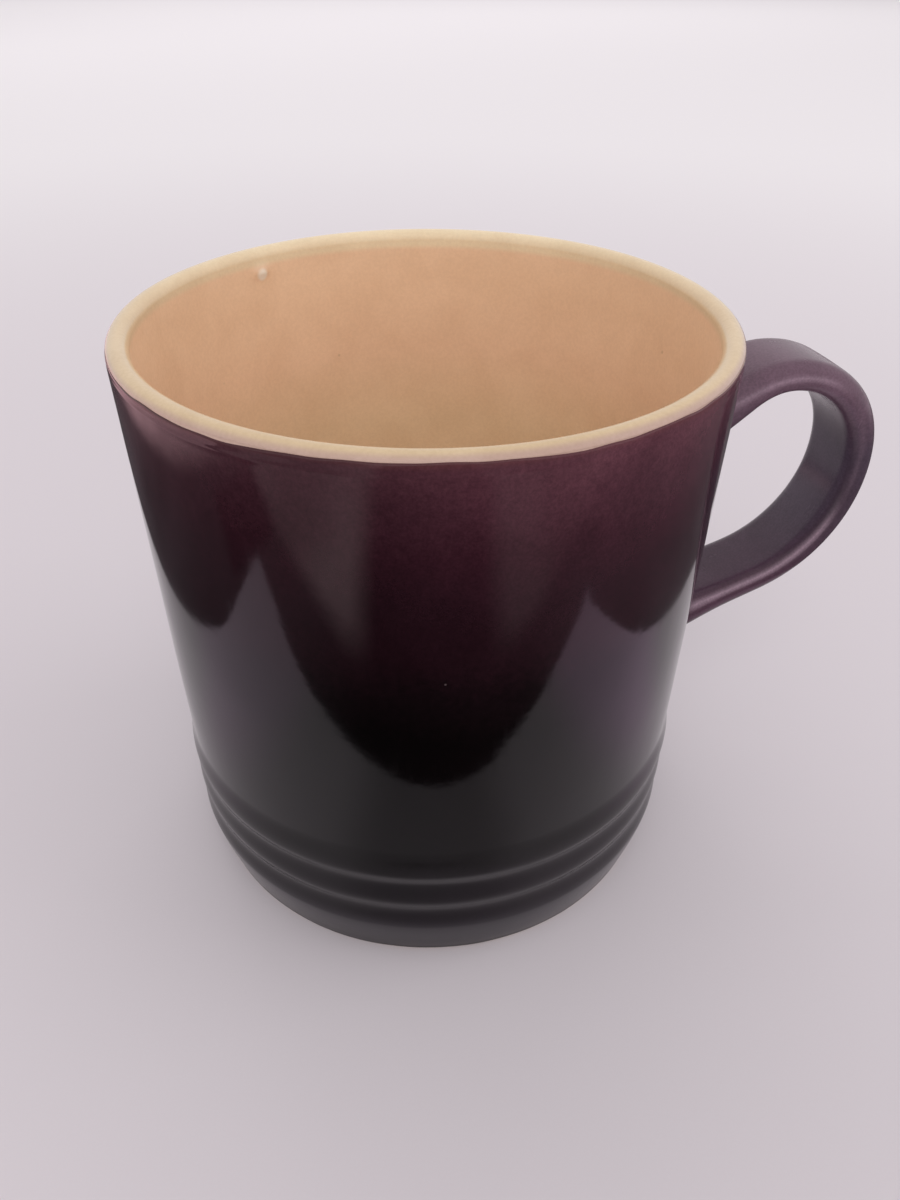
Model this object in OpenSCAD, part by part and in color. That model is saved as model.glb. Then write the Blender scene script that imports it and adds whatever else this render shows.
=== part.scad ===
// Stoneware mug with a strap handle, three raised rings near the foot and a two-colour glaze.
// The origin is on the mug's axis, in the plane of the foot ring. +Z is up and the handle is along +X.
// The clay pieces and the glaze coats are separate solids that meet face to face.

/* [Cup] */
// Overall height
mug_h = 93.1; // [86:0.1:101]
// Outer diameter at the rim
rim_d = 90; // [84:0.5:98]
// Outer diameter of the plain wall, where it meets the rings
wall_low_d = 86.4; // [81:0.2:94]
// Wall thickness at the rim, glaze included
rim_t = 3.2; // [2.6:0.1:4.4]
// Wall thickness low down, glaze included
wall_t = 4.8; // [4:0.1:6]
// Height of the cup's floor above the resting plane
floor_z = 8; // [6.5:0.1:10]
// Radius of the curve from floor to wall, inside the cup
inner_corner_r = 10; // [6:0.5:14]

/* [Rings] */
// Height of the top ring's crest
ring_top_z = 21.6; // [20:0.2:24]
// Distance from one ring's crest to the next
ring_pitch = 6.4; // [5.6:0.1:6.8]
// How far the crests stand proud of the wall
ring_proud = 0.55; // [0.2:0.05:1]
// Depth of the grooves between the crests
ring_depth = 0.5; // [0.2:0.05:1]
// Height over which the wall flares out to the top ring
ring_flare = 5; // [3:0.5:8]

/* [Foot] */
// How far the outside tapers in, from the lowest crest to the resting plane
foot_taper = 2; // [1:0.1:4]
// Height of the bare clay at the foot
foot_bare_h = 0.9; // [0.6:0.1:1.5]
// Width of the foot ring's resting face
foot_ring_w = 4; // [3:0.2:5]
// Depth of the recess inside the foot ring
foot_recess = 2.2; // [1.5:0.1:3]

/* [Handle] */
// Width of the strap, glaze included
strap_w = 14.4; // [11:0.2:18]
// Thickness of the strap, glaze included
strap_t = 4.9; // [4:0.1:6]
// Height at which the strap's centre line meets the wall at the top
root_z = 76.3; // [72:0.1:80]
// Upward slope of the strap as it leaves the wall, in degrees
root_rise = 19; // [10:1:25]
// Length of the straight stretch before the upper bend
root_lead = 9.3; // [8:0.1:14]
// Radius of the upper bend
upper_bend_r = 16.2; // [14:0.1:18]
// Angle of the upper bend, in degrees
upper_bend_a = 96.5; // [90:0.5:100]
// Radius of the lower bend
lower_bend_r = 23.1; // [21:0.1:25]
// Slope of the strap as it comes back to the wall, in degrees
lower_slope = 20; // [15:1:25]
// How much wider the strap gets on each side as it reaches the wall
root_flare = 1.4; // [0.8:0.1:1.8]
// Length of the flare along the strap
root_flare_l = 6.5; // [5:0.5:8]

/* [Glaze] */
// Thickness of the glaze coats
glaze_t = 0.4; // [0.3:0.05:0.6]
// How far the cream glaze comes down outside the lip
lip_drop = 1.1; // [0.6:0.1:2.4]

/* [Hidden] */

clay_colour = [0.78, 0.70, 0.60];
slip_colour = [0.72, 0.63, 0.53];
cream_colour = [0.88, 0.78, 0.64];
dark_colour = [0.20, 0.13, 0.17];
handle_colour = [0.34, 0.24, 0.30];

round_fn = 96;
strap_fn = 48;
// Height of the plain wall's lower end, where wall_low_d is measured
wall_low_z = 24;
ring_count = 3;
// Vertical spacing of the points on the ringed part of the outline
ring_step = 0.8;
// Step of the angle along the curved parts of the outline, in degrees
curve_step = 15;
lip_r = rim_t / 2;
lip_centre_z = mug_h - lip_r;
lowest_crest_z = ring_top_z - (ring_count - 1) * ring_pitch;
// Above 1, the taper to the foot starts gently at the lowest crest and gets steeper as it goes down
foot_taper_power = 1.25;
flare_top_z = ring_top_z + ring_flare;
// The strap is drawn from this far inside the wall, then cut back to the wall's surface
root_bury = 5;
// Neighbouring stretches of the strap overlap by this much, and one of each two is fatter all round
// by lap_swell, so that they join into one solid
lap = 0.5;
lap_swell = 0.02;
// Thickness of the slip between the strap's end and the wall
slip_t = 0.3;
// The flares end this far under the strap's surface
flare_tuck = 0.3;
// Turn that keeps the seam of a flare's cone clear of the coat that it cuts, in degrees
cut_seam = 45;
// At each joint a stub of the strap comes this far out of the wall
stub_l = 1.5;
// Size of the eased edge on the foot ring
foot_ease = 0.4;

// Radius of the plain tapered wall at height z
function wall_r(z) =
    wall_low_d / 2 + (rim_d - wall_low_d) / 2 * (z - wall_low_z) / (lip_centre_z - wall_low_z);

// How far the surface stands proud of the plain wall, around the rings
function ring_relief(z) =
    z >= flare_top_z ? 0
    : z >= ring_top_z ? ring_proud * (1 + cos(180 * (z - ring_top_z) / ring_flare)) / 2
    : z >= lowest_crest_z ? ring_proud - ring_depth * (1 - cos(360 * (ring_top_z - z) / ring_pitch)) / 2
    : ring_proud;

// How far the outside has tapered in at height z below the lowest crest
function taper_in(z) =
    z >= lowest_crest_z ? 0 : foot_taper * pow(1 - z / lowest_crest_z, foot_taper_power);

// Radius of the glazed outer surface at height z
function outer_r(z) = wall_r(z) + ring_relief(z) - taper_in(z);

foot_r = outer_r(foot_bare_h);
foot_inner_r = foot_r - foot_ring_w;

// Radius of the glazed inner wall at height z
function inner_r(z) =
    let (low_r = wall_r(wall_low_z) - wall_t, top_r = rim_d / 2 - rim_t)
    low_r + (top_r - low_r) * (z - wall_low_z) / (lip_centre_z - wall_low_z);

inner_corner_z = floor_z + inner_corner_r;
inner_corner_x = inner_r(inner_corner_z) - inner_corner_r;

// Heights of the points on the outer outline, from the foot up to the lip's centre
outline_heights = [
    for (z = [foot_bare_h : ring_step : flare_top_z]) z,
    flare_top_z,
    lip_centre_z
];

// Outline of everything inside the outer surface, moved inwards by inset.
// It runs up the outside, over the lip, which is a full round, and straight across to the axis.
function outer_points(inset) = [
    [0, foot_bare_h],
    for (z = outline_heights) [outer_r(z) - inset, z],
    for (a = [curve_step : curve_step : 180]) [
        rim_d / 2 - lip_r + (lip_r - inset) * cos(a),
        lip_centre_z + (lip_r - inset) * sin(a)
    ],
    [0, lip_centre_z]
];

// Outline of the hollow inside the cup, grown by grow
function hollow_points(grow) = [
    [0, floor_z - grow],
    for (a = [-90 : curve_step : 0]) [
        inner_corner_x + (inner_corner_r + grow) * cos(a),
        inner_corner_z + (inner_corner_r + grow) * sin(a)
    ],
    [inner_r(lip_centre_z) + grow, lip_centre_z],
    [0, lip_centre_z]
];

// Outline of the bare foot ring, with its outer edge eased
foot_points = [
    [foot_inner_r, 0],
    [foot_r - glaze_t - foot_ease, 0],
    [foot_r - glaze_t, foot_ease],
    [foot_r - glaze_t, foot_bare_h],
    [foot_inner_r, foot_bare_h]
];

// Where the strap's straight and curved stretches meet, in the XZ plane.
// Angles are the strap's slope as it runs out from the upper root, with downward slopes negative.
upper_root = [outer_r(root_z), root_z];
mid_slope = root_rise - upper_bend_a;
end_slope = lower_slope - 180;
lower_bend_a = mid_slope - end_slope;

// A point moved by length along a slope
function along(point, slope, length) = point + length * [cos(slope), sin(slope)];

// The end of a bend of radius r that starts at point and turns down from one slope to another
function bend_end(point, r, from_slope, to_slope) =
    point + r * [sin(from_slope) - sin(to_slope), cos(to_slope) - cos(from_slope)];

upper_bend_start = along(upper_root, root_rise, root_lead);
bends_meet = bend_end(upper_bend_start, upper_bend_r, root_rise, mid_slope);
lower_bend_end = bend_end(bends_meet, lower_bend_r, mid_slope, end_slope);

// The lower root is where the last straight stretch reaches the wall
lower_root_z = lower_bend_end[1] - (lower_bend_end[0] - upper_root[0]) * tan(lower_slope);
lower_root = [outer_r(lower_root_z), lower_root_z];
tail_l = (lower_bend_end[0] - lower_root[0]) / cos(lower_slope);
lap_turn = lap / lower_bend_r * 180 / PI;

// The flares are cones that widen by flare_growth for each millimetre towards the wall.
// They are tilted by their own slant, so that they widen on the loop's inner side only.
flare_growth = root_flare / root_flare_l;
flare_tilt = atan(flare_growth);
flare_reach = root_flare_l + flare_tuck / flare_growth;

// Solid made by spinning an outline about the axis, starting opposite the handle
module spun() {
    rotate(180) rotate_extrude($fn = round_fn) children();
}

// Everything inside the outer surface moved inwards by inset, hollow included
module cup_solid(inset) {
    spun() polygon(outer_points(inset));
}

// Section of the strap: flat faces and full-round edges, moved inwards by inset
module strap_section(inset) {
    edge_r = strap_t / 2 - inset;
    square([strap_w - strap_t, 2 * edge_r], center = true);
    for (side = [-1, 1])
        translate([side * (strap_w - strap_t) / 2, 0]) circle(r = edge_r, $fn = strap_fn);
}

// A straight stretch of the strap along +X
module strap_straight(length, inset) {
    rotate([90, 0, 90]) linear_extrude(length) strap_section(inset);
}

// A bend that starts along +X at the origin and turns down
module strap_bend(r, turn, inset) {
    translate([0, 0, -r]) rotate([0, -90, -90])
        rotate_extrude(angle = turn, $fn = round_fn) translate([r, 0]) rotate(90) strap_section(inset);
}

// Places its children at a point of the XZ plane, with their +X along a slope
module at_slope(point, slope) {
    translate([point[0], 0, point[1]]) rotate([0, -slope, 0]) children();
}

// The whole strap, with both ends buried in the wall
module strap_sweep(inset) {
    at_slope(along(upper_root, root_rise, -root_bury), root_rise)
        strap_straight(root_bury + root_lead + lap, inset - lap_swell);
    at_slope(upper_bend_start, root_rise)
        strap_bend(upper_bend_r, upper_bend_a, inset);
    at_slope(bend_end(bends_meet, lower_bend_r, mid_slope, mid_slope + lap_turn), mid_slope + lap_turn)
        strap_bend(lower_bend_r, lower_bend_a + lap_turn, inset - lap_swell);
    at_slope(along(lower_bend_end, end_slope, -lap), end_slope)
        strap_straight(lap + tail_l + root_bury, inset);
}

// A flare has its slim end at the origin, just under the strap's surface. It runs back along -X
// into the wall, and is a cone round each edge of the strap with a web between them.
flare_l = flare_reach + root_bury;
flare_half_w = (strap_w - strap_t) / 2;
function flare_slim_r(inset) = strap_t / 2 - inset - flare_tuck;
function flare_wide_r(inset) = flare_slim_r(inset) + flare_growth * flare_l;

module flare_edge(side, inset, seam = 0) {
    rotate([0, -flare_tilt, 0]) translate([-flare_l, side * flare_half_w, 0])
        rotate([0, 90, 0]) rotate(seam)
            cylinder(h = flare_l, r1 = flare_wide_r(inset), r2 = flare_slim_r(inset), $fn = strap_fn);
}

module flare_web(inset) {
    slim_r = flare_slim_r(inset);
    wide_r = flare_wide_r(inset);
    rotate([0, -flare_tilt, 0]) rotate([90, 0, 0]) linear_extrude(2 * flare_half_w, center = true)
        polygon([[-flare_l, -wide_r], [0, -slim_r], [0, slim_r], [-flare_l, wide_r]]);
}

module root_flare_solid(inset) {
    flare_edge(-1, inset);
    flare_edge(1, inset);
    flare_web(inset);
}

// A straight stub of the strap, from inside the wall to a little way out of it
module root_stub(inset) {
    translate([-root_bury, 0, 0]) strap_straight(root_bury + stub_l, inset);
}

// Places its children at each root's slim end of the flare, or at the root itself
module at_upper_flare() {
    at_slope(along(upper_root, root_rise, flare_reach), root_rise) children();
}

module at_lower_flare() {
    at_slope(along(lower_root, lower_slope, flare_reach), lower_slope) mirror([0, 0, 1]) children();
}

module at_upper_root() {
    at_slope(upper_root, root_rise) children();
}

module at_lower_root() {
    at_slope(lower_root, lower_slope) children();
}

// The clay of the strap, cut back to leave room for the layer of slip at the wall
module strap_clay() {
    difference() {
        strap_sweep(glaze_t);
        cup_solid(glaze_t - slip_t);
    }
}

module stoneware_body() {
    color(clay_colour) spun() difference() {
        union() {
            polygon(outer_points(glaze_t));
            polygon(foot_points);
        }
        polygon(hollow_points(glaze_t));
        square([foot_inner_r, foot_recess + glaze_t]);
    }
}

module handle_strap() {
    color(clay_colour) strap_clay();
}

module upper_luting_slip() {
    color(slip_colour) difference() {
        union() {
            at_upper_flare() root_flare_solid(glaze_t);
            at_upper_root() root_stub(glaze_t + lap_swell);
        }
        cup_solid(glaze_t);
        strap_clay();
    }
}

module lower_luting_slip() {
    color(slip_colour) difference() {
        union() {
            at_lower_flare() root_flare_solid(glaze_t);
            at_lower_root() root_stub(glaze_t + lap_swell);
        }
        cup_solid(glaze_t);
        strap_clay();
    }
}

// Section of the coat all over the outside of the cup and the lip
module outer_coat_section() {
    difference() {
        polygon(outer_points(0));
        polygon(outer_points(glaze_t));
    }
}

// The part of the section where that coat is dark: all of it outside the lip's centre, up to the
// colour change
module dark_region() {
    square([rim_d, lip_centre_z]);
    translate([rim_d / 2 - lip_r, 0]) square([rim_d, mug_h - lip_drop]);
}

module interior_glaze() {
    color(cream_colour) spun() {
        difference() {
            polygon(hollow_points(glaze_t));
            polygon(hollow_points(0));
        }
        difference() {
            outer_coat_section();
            dark_region();
        }
    }
}

// Each of these cuts one shape out of its child at both roots. The shapes are cut one after
// another because some of them are tangent to each other.
module less_stubs() {
    difference() {
        children();
        at_upper_root() root_stub(glaze_t - lap_swell);
        at_lower_root() root_stub(glaze_t - lap_swell);
    }
}

module less_webs() {
    difference() {
        children();
        at_upper_flare() flare_web(glaze_t);
        at_lower_flare() flare_web(glaze_t);
    }
}

module less_edges(side) {
    difference() {
        children();
        at_upper_flare() flare_edge(side, glaze_t, cut_seam);
        at_lower_flare() flare_edge(side, glaze_t, cut_seam);
    }
}

module exterior_glaze() {
    color(dark_colour) less_edges(-1) less_edges(1) less_webs() less_stubs() spun() intersection() {
        outer_coat_section();
        dark_region();
    }
}

module handle_glaze() {
    color(handle_colour) difference() {
        union() {
            strap_sweep(0);
            at_upper_flare() root_flare_solid(0);
            at_lower_flare() root_flare_solid(0);
        }
        strap_sweep(glaze_t);
        at_upper_flare() root_flare_solid(glaze_t);
        at_lower_flare() root_flare_solid(glaze_t);
        cup_solid(0);
    }
}

module base_glaze() {
    color(dark_colour) translate([0, 0, foot_recess]) cylinder(h = glaze_t, r = foot_inner_r, $fn = round_fn);
}

stoneware_body();
handle_strap();
upper_luting_slip();
lower_luting_slip();
interior_glaze();
exterior_glaze();
handle_glaze();
base_glaze();
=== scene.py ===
"""Looks of the stoneware mug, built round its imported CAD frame.

The origin is on the mug's axis in the resting plane, +Z is up and the handle is along +X.
Lengths are in millimetres and are scaled by MM as each mesh is made. In the materials they are in metres.
"""

import math

import bpy  # noqa: E402
import bmesh  # noqa: E402
import numpy as np  # noqa: E402
from mathutils import Matrix, Vector  # noqa: E402


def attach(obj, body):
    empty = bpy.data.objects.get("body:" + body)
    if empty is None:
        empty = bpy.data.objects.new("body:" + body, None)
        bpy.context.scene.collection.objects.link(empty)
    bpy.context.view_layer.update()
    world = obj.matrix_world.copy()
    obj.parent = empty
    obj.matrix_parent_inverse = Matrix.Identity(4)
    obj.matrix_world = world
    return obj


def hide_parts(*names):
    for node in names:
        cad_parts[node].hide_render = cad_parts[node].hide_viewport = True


MM = 0.001

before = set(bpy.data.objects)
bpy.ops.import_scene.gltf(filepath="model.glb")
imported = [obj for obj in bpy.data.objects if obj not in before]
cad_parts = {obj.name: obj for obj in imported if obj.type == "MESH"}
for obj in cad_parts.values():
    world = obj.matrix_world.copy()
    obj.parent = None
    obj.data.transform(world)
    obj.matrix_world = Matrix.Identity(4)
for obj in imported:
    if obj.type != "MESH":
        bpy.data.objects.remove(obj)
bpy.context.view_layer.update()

# ---------------------------------------------------------------- the mug's measures, in mm
MUG_H = 93.1
RIM_R = 45.0
WALL_LOW_R = 43.2
WALL_LOW_Z = 24.0
LIP_R = 1.6
LIP_Z = MUG_H - LIP_R
WALL_T = 4.8
FLOOR_Z = 8.0
CORNER_R = 10.0
GLAZE_T = 0.4

RING_TOP_Z = 21.6
RING_PITCH = 6.4
RING_PROUD = 0.55
RING_DEPTH = 0.45
# Below each crest the undercut takes this share of the pitch
UNDERCUT_SHARE = 0.41
RING_FLARE = 5.0
CREST_LOW_Z = RING_TOP_Z - 2 * RING_PITCH
FLARE_TOP_Z = RING_TOP_Z + RING_FLARE

FOOT_TAPER = 2.0
FOOT_TAPER_BEND = 1.25
FOOT_Z = 0.9
FOOT_W = 4.0
FOOT_RECESS = 2.2
FOOT_EASE = 0.55
COAT_BOTTOM_Z = 0.45

# The strap starts level with ROOT_Z, rises, takes two bends and slopes down to the wall again.
# Its angles are in degrees.
STRAP_W = 14.4
STRAP_T = 4.9
ROOT_Z = 76.3
LOWER_ROOT_Z = 35.3
ROOT_RISE = 19.0
ROOT_LEAD = 9.3
BEND_1_R = 16.2
BEND_1_A = 96.5
BEND_2_R = 23.1
LOWER_SLOPE = 20.0

LATHE_SEGMENTS = 320

# In the camera's view the handle is turned this far towards the viewer from straight out to the right.
HANDLE_TURN = math.radians(12.0)


def wall_r(z):
    """Radius of the plain tapered wall."""
    return WALL_LOW_R + (RIM_R - WALL_LOW_R) * (z - WALL_LOW_Z) / (LIP_Z - WALL_LOW_Z)


def ring_relief(z):
    """How far the surface stands proud of the plain wall round the rings."""
    z = np.asarray(z, float)
    flare = RING_PROUD * (1 + np.cos(np.pi * (z - RING_TOP_Z) / RING_FLARE)) / 2
    along = ((RING_TOP_Z - z) / RING_PITCH) % 1.0
    phase = np.interp(along, [0, UNDERCUT_SHARE, 1], [0, 0.5, 1])
    wave = RING_PROUD - RING_DEPTH * (1 - np.cos(2 * np.pi * phase)) / 2
    low = np.full_like(z, RING_PROUD)
    above = [z >= FLARE_TOP_Z, z >= RING_TOP_Z, z >= CREST_LOW_Z]
    return np.select(above, [0 * z, flare, wave], low)


def taper_in(z):
    """How far the foot has tapered in below the lowest crest."""
    return FOOT_TAPER * np.clip(1 - np.asarray(z, float) / CREST_LOW_Z, 0, 1) ** FOOT_TAPER_BEND


def outer_r(z):
    """Radius of the glazed outside."""
    return wall_r(np.asarray(z, float)) + ring_relief(z) - taper_in(z)


def inner_r(z):
    """Radius of the glazed inside."""
    low = wall_r(WALL_LOW_Z) - WALL_T
    top = RIM_R - 2 * LIP_R
    return low + (top - low) * (z - WALL_LOW_Z) / (LIP_Z - WALL_LOW_Z)


FOOT_R = float(outer_r(FOOT_Z))
FOOT_INNER_R = FOOT_R - FOOT_W


def smoothstep(t):
    t = np.clip(t, 0, 1)
    return t * t * (3 - 2 * t)


# ---------------------------------------------------------------- mesh helpers
# In metres
WELD_DISTANCE = 1e-7


def make_object(name, verts, faces, node_names, slot, material, sharp=None, marks=None):
    """A smooth-shaded closed piece from points in mm, standing for the CAD nodes named.

    Edges sharper than sharp degrees stay sharp. marks maps names to one value per point, for the
    material to read."""
    mesh = bpy.data.meshes.new(name)
    mesh.from_pydata((np.asarray(verts, float) * MM).tolist(), [], faces)
    for mark, values in (marks or {}).items():
        mesh.attributes.new(mark, "FLOAT", "POINT").data.foreach_set("value", values)
    bm = bmesh.new()
    bm.from_mesh(mesh)
    bmesh.ops.remove_doubles(bm, verts=bm.verts, dist=WELD_DISTANCE)
    bmesh.ops.recalc_face_normals(bm, faces=bm.faces)
    bm.to_mesh(mesh)
    bm.free()
    mesh.polygons.foreach_set("use_smooth", [True] * len(mesh.polygons))
    if sharp:
        mesh.set_sharp_from_angle(angle=math.radians(sharp))
    obj = bpy.data.objects.new(name, mesh)
    bpy.context.scene.collection.objects.link(obj)
    mesh.materials.append(material)
    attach(obj, "root")
    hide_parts(*node_names)


def lathe(outline, shift=None):
    """Points and faces of a closed outline of (r, z) spun about the axis.

    Points at r = 0 become one point each. shift(theta, r, z) returns moved (r, z) arrays."""
    theta = np.arange(LATHE_SEGMENTS) * 2 * np.pi / LATHE_SEGMENTS
    verts, rows = [], []
    for r, z in np.asarray(outline, float):
        if r == 0:
            rows.append([len(verts)] * LATHE_SEGMENTS)
            verts.append((0.0, 0.0, z))
            continue
        around, heights = np.full(LATHE_SEGMENTS, r), np.full(LATHE_SEGMENTS, z)
        if shift:
            around, heights = shift(theta, around, heights)
        start = len(verts)
        rows.append(list(range(start, start + LATHE_SEGMENTS)))
        verts.extend(zip(around * np.cos(theta), around * np.sin(theta), heights))
    faces = []
    for row, following in zip(rows, rows[1:] + rows[:1]):
        for j in range(LATHE_SEGMENTS):
            k = (j + 1) % LATHE_SEGMENTS
            corners = list(dict.fromkeys((row[j], row[k], following[k], following[j])))
            if len(corners) > 2:
                faces.append(corners)
    return verts, faces


def waver(theta, waves):
    """A closed wavering line: waves is a list of (count round the mug, size, phase)."""
    return sum(size * np.sin(n * theta + phase) for n, size, phase in waves)


# ---------------------------------------------------------------- node helpers
class Nodes:
    """Short names for building one material's node tree."""

    def __init__(self, name):
        self.material = bpy.data.materials.new(name)
        self.material.use_nodes = True
        self.tree = self.material.node_tree
        self.tree.nodes.clear()
        self.out = self.tree.nodes.new("ShaderNodeOutputMaterial")
        self.shader = self.tree.nodes.new("ShaderNodeBsdfPrincipled")
        self.link(self.shader.outputs[0], self.out.inputs[0])
        coords = self.tree.nodes.new("ShaderNodeTexCoord")
        self.point = coords.outputs["Object"]

    def link(self, a, b):
        self.tree.links.new(a, b)

    def put(self, socket, value):
        if isinstance(value, bpy.types.NodeSocket):
            self.link(value, socket)
        elif value is not None:
            socket.default_value = value

    def math(self, op, a, b=None, clamp=False):
        node = self.tree.nodes.new("ShaderNodeMath")
        node.operation = op
        node.use_clamp = clamp
        for socket, value in zip(node.inputs, (a, b)):
            self.put(socket, value)
        return node.outputs[0]

    def add(self, a, b):
        return self.math("ADD", a, b)

    def times(self, a, b):
        return self.math("MULTIPLY", a, b)

    def swing(self, noise, size):
        """noise as an offset, from half of size below zero to half of it above."""
        return self.times(self.math("SUBTRACT", noise, 0.5), size)

    def noise(self, scale, detail=3.0, rough=0.5, distort=0.0, vector=None):
        node = self.tree.nodes.new("ShaderNodeTexNoise")
        self.put(node.inputs["Vector"], vector or self.point)
        node.inputs["Scale"].default_value = scale
        node.inputs["Detail"].default_value = detail
        node.inputs["Roughness"].default_value = rough
        node.inputs["Distortion"].default_value = distort
        return node.outputs[0]

    def cells(self, scale):
        """Distance to the nearest of a scatter of points."""
        node = self.tree.nodes.new("ShaderNodeTexVoronoi")
        self.put(node.inputs["Vector"], self.point)
        node.inputs["Scale"].default_value = scale
        return node.outputs["Distance"]

    def scaled(self, factors):
        """The point with its three parts multiplied by factors."""
        node = self.tree.nodes.new("ShaderNodeVectorMath")
        node.operation = "MULTIPLY"
        self.put(node.inputs[0], self.point)
        node.inputs[1].default_value = factors
        return node.outputs[0]

    def away_from(self, place):
        """Distance from place, which is in metres."""
        node = self.tree.nodes.new("ShaderNodeVectorMath")
        node.operation = "DISTANCE"
        self.put(node.inputs[0], self.point)
        node.inputs[1].default_value = place
        return node.outputs["Value"]

    def axis(self, name):
        node = self.tree.nodes.new("ShaderNodeSeparateXYZ")
        self.link(self.point, node.inputs[0])
        return node.outputs[name]

    def ramp(self, fac, stops, smooth=True):
        """A colour or a grey value read off stops of (place, colour)."""
        node = self.tree.nodes.new("ShaderNodeValToRGB")
        self.put(node.inputs[0], fac)
        ramp = node.color_ramp
        ramp.interpolation = "EASE" if smooth else "LINEAR"
        while len(ramp.elements) < len(stops):
            ramp.elements.new(0.5)
        for element, (place, colour) in zip(ramp.elements, stops):
            rgb = tuple(colour) if hasattr(colour, "__len__") else (colour,) * 3
            element.position = place
            element.color = rgb + (1.0,)
        return node.outputs[0]

    def span(self, value, low, high, to_low=0.0, to_high=1.0):
        """value taken from low..high to to_low..to_high, eased and clamped."""
        node = self.tree.nodes.new("ShaderNodeMapRange")
        node.interpolation_type = "SMOOTHSTEP"
        for socket, v in zip(node.inputs, (value, low, high, to_low, to_high)):
            self.put(socket, v)
        return node.outputs[0]

    def mix(self, fac, a, b, kind="MIX"):
        node = self.tree.nodes.new("ShaderNodeMix")
        node.data_type = "RGBA"
        node.blend_type = kind
        self.put(node.inputs["Factor"], fac)
        colour_sockets = [s for s in node.inputs if s.type == "RGBA"]
        for socket, v in zip(colour_sockets, (a, b)):
            self.put(socket, v if isinstance(v, bpy.types.NodeSocket) else (*v, 1.0))
        return next(s for s in node.outputs if s.type == "RGBA")

    def tint(self, colour, by):
        """colour multiplied by another colour or by a grey value."""
        return self.mix(1.0, colour, by, "MULTIPLY")

    def bump(self, height, distance, strength=1.0, under=None):
        node = self.tree.nodes.new("ShaderNodeBump")
        node.inputs["Strength"].default_value = strength
        node.inputs["Distance"].default_value = distance
        self.put(node.inputs["Height"], height)
        if under is not None:
            self.link(under, node.inputs["Normal"])
        return node.outputs[0]

    def attribute(self, name):
        node = self.tree.nodes.new("ShaderNodeAttribute")
        node.attribute_name = name
        return node.outputs["Fac"]

    def finish(self, colour, rough, normal, ior=1.5):
        self.put(self.shader.inputs["Base Color"], colour)
        self.put(self.shader.inputs["Roughness"], rough)
        self.put(self.shader.inputs["Normal"], normal)
        self.shader.inputs["IOR"].default_value = ior
        return self.material


# ---------------------------------------------------------------- materials
# In this section lengths are in metres, and noise scales are per metre. Colours are linear.
# A fade holds what Nodes.span takes after the value: from, to and, unless they are 0 and 1, the
# results there.

# The dark glaze's colours from the foot up to the rim, by share of the mug's height
OMBRE = [
    (0.00, (0.0100, 0.0068, 0.0095)),
    (0.20, (0.0062, 0.0042, 0.0060)),
    (0.27, (0.0020, 0.0012, 0.0015)),
    (0.54, (0.0018, 0.0009, 0.0011)),
    (0.61, (0.0045, 0.0020, 0.0027)),
    (0.67, (0.0110, 0.0036, 0.0056)),
    (0.77, (0.0170, 0.0056, 0.0088)),
    (0.85, (0.0270, 0.0080, 0.0128)),
    (0.92, (0.0450, 0.0150, 0.0220)),
    (0.985, (0.0700, 0.0250, 0.0340)),
]
# How far two noises, one slow and one fine, move those colours up and down
OMBRE_DRIFT = 0.010
OMBRE_SPRAY = 0.008
# The colour is painted stronger on the side towards the handle and the viewer: painted light for the
# light that falls on that side.
LIT_SIDE_X = 0.75
LIT_SIDE_Y = -0.66
LIT_SIDE_FADE = (0.012, 0.042, 0.88, 1.75)
GLAZE_CLOUD = [(0.30, 0.90), (0.70, 1.06)]
GLAZE_GRAIN = [(0.35, 0.90), (0.65, 1.10)]

# The strap's colours by the same share of height: it is painted lightest on top of its upper arm, a
# painted highlight for the light and the bright room it mirrors there.
PLUM = [
    (0.40, (0.0800, 0.0360, 0.0580)),
    (0.56, (0.0720, 0.0450, 0.0660)),
    (0.70, (0.0680, 0.0460, 0.0680)),
    (0.84, (0.1600, 0.0930, 0.1280)),
]
# The strap has the wall's colour only close to its lower root.
PLUM_X_DRIFT = 0.006
PLUM_X_FADE = (0.0420, 0.0475)
PLUM_Z_FADE = (0.050, 0.070)
# The strap's inner side is painted greyer, most of all half way up: a painted reflection.
INNER_REFLECTION_TONE = (0.1350, 0.1000, 0.1420)
INNER_REFLECTION_TOP_FADE = (0.062, 0.074, 0.60, 0.10)
INNER_REFLECTION_LOW_FADE = (0.044, 0.056, 0.30, 1.0)
# A painted highlight runs along the strap's crests.
CREST_HIGHLIGHT_TONE = (0.3600, 0.2500, 0.3100)
CREST_HIGHLIGHT_FADE = (0.060, 0.080, 0.92, 0.66)

# The colour is painted lighter and greyer under the lowest ring: a painted reflection of the floor close
# to the foot, which the undercut mirrors.
UNDER_RING_REFLECTION = (0.0210, 0.0170, 0.0220)
UNDER_RING_REFLECTION_SHARE = 0.85
UNDER_RING_REFLECTION_FROM = (0.0030, 0.0060)
UNDER_RING_REFLECTION_TO = (0.0082, 0.0115, 1.0, 0.0)
# At the coat's top edge the clay shows through.
EDGE_BROWN = (0.140, 0.046, 0.036)
EDGE_SHARE = 0.45
EDGE_DRIFT = 0.0012
EDGE_FADE = (0.0904, 0.0921)
# Sparse pale specks
PALE_SPECK = (0.22, 0.17, 0.17)
PALE_SPECK_SHARE = 0.35
PALE_SPECK_FADE = (0.016, 0.026, 1.0, 0.0)

FILM_RANGE = (0.3, 0.7)
SCUFF_STRETCH = (420.0, 420.0, 60.0)
SCUFF_FADE = (0.55, 0.80, 0.0, 0.05)
RING_ROUGH_FADE = (0.0215, 0.0260, 0.11, 0.0)
DARK_GLAZE_IOR = 1.40


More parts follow.
